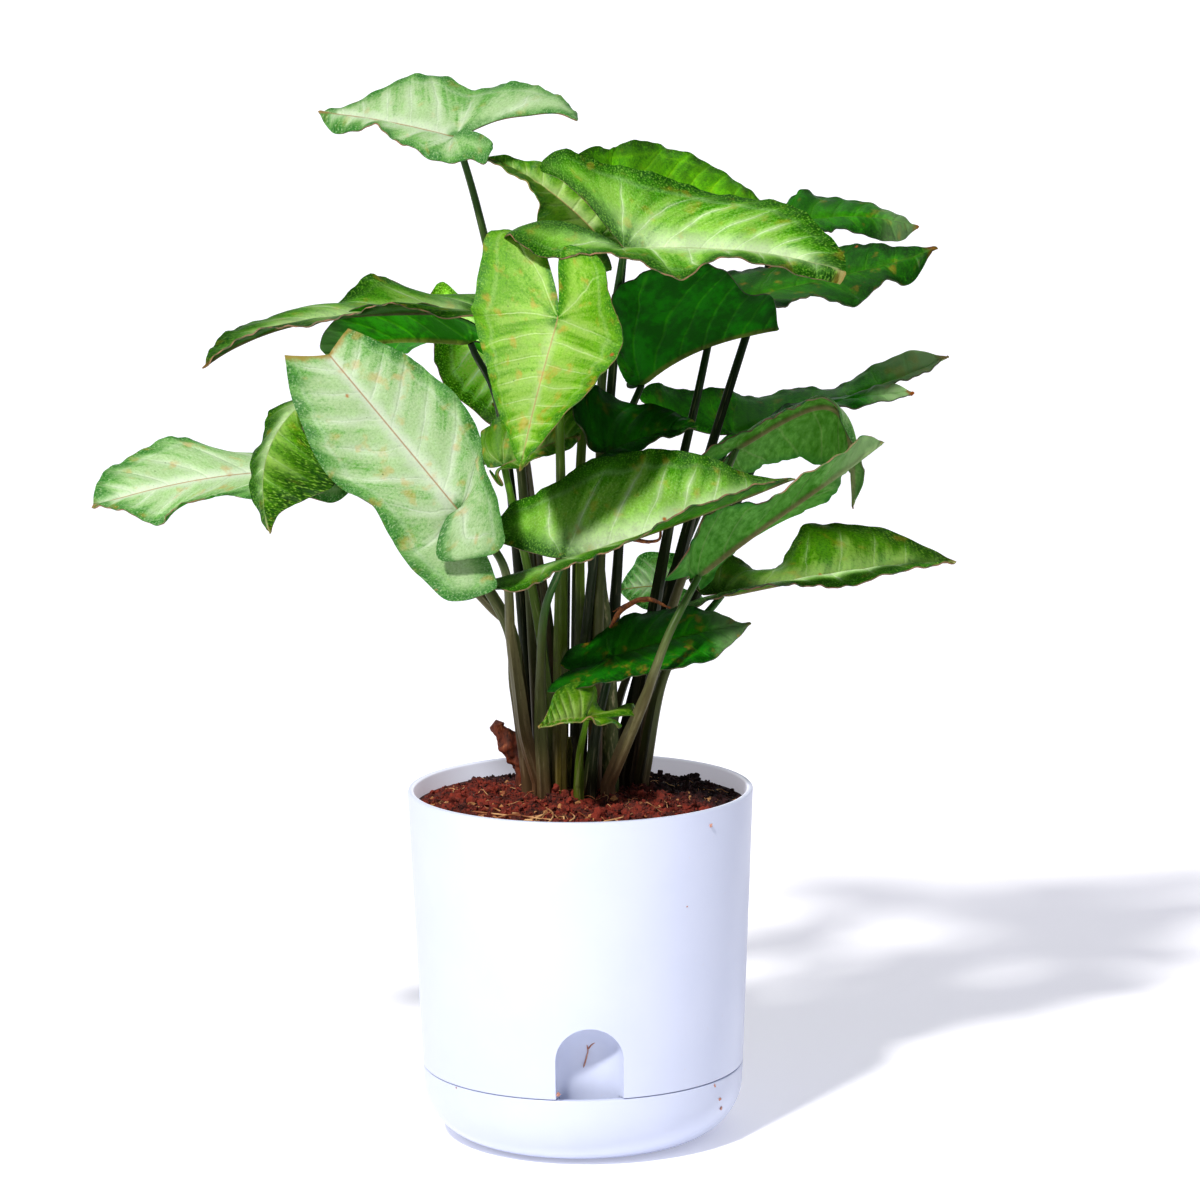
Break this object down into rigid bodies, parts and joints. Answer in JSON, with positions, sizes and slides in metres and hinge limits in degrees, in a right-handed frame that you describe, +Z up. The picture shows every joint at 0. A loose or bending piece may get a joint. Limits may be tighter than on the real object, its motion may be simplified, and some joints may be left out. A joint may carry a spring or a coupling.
{
  "type": "arrowhead plant",
  "caption": "Arrowhead plant with pale green arrow-shaped leaves on long arching stalks, growing in moist cocopeat in a white self-watering pot with a water inlet in front.",
  "frame": {"origin": "middle of the pot's flat foot, on the surface that it stands on", "axes": "+Z up along the pot's axis, -Y to the front, where the water inlet is, +X to the right seen from the front"},
  "size_m": [0.3252, 0.187, 0.4015],
  "materials": {
    "white_plastic": "satin white moulded plastic, cooler in the shade",
    "cocopeat": "moist reddish-brown coir crumbs with pale fibres",
    "old_stem": "dark old stem with a ringed node",
    "bark": "rough broken bark",
    "leaf_silver": "satin leaf, pale silvery green along the veins, greener speckled margins, thin brown edge",
    "leaf_young": "satin young leaf, yellow-green with pale veins and orange specks",
    "leaf_deep": "satin leaf of deep green, paler along the veins"
  },
  "bodies": {
    "root": {"planter": "white_plastic", "water_bowl": "white_plastic", "soil": "cocopeat", "stem_thick": "old_stem", "stem_stump": "old_stem", "bark_chip": "bark", "leaf_top": "leaf_silver", "leaf_upper_right": "leaf_silver", "leaf_left_front": "leaf_silver", "leaf_far_left": "leaf_silver", "leaf_left_hanging": "leaf_silver", "leaf_left_long": "leaf_silver", "leaf_behind_centre": "leaf_silver", "leaf_front_right": "leaf_silver", "leaf_low_right": "leaf_silver", "leaf_right_folded": "leaf_silver", "leaf_right_arching": "leaf_silver", "leaf_back_low": "leaf_silver", "leaf_young_curled": "leaf_young", "leaf_centre": "leaf_young", "leaf_young_low": "leaf_young", "leaf_small_low": "leaf_young", "leaf_left_shaded": "leaf_deep", "leaf_shaded_middle": "leaf_deep", "leaf_right_dark": "leaf_deep", "leaf_right_narrow": "leaf_deep", "leaf_back_top": "leaf_deep", "leaf_back_right": "leaf_deep", "leaf_shaded_right": "leaf_deep", "leaf_funnel": "leaf_deep", "leaf_low_dark": "leaf_deep"}
  },
  "joints": []
}
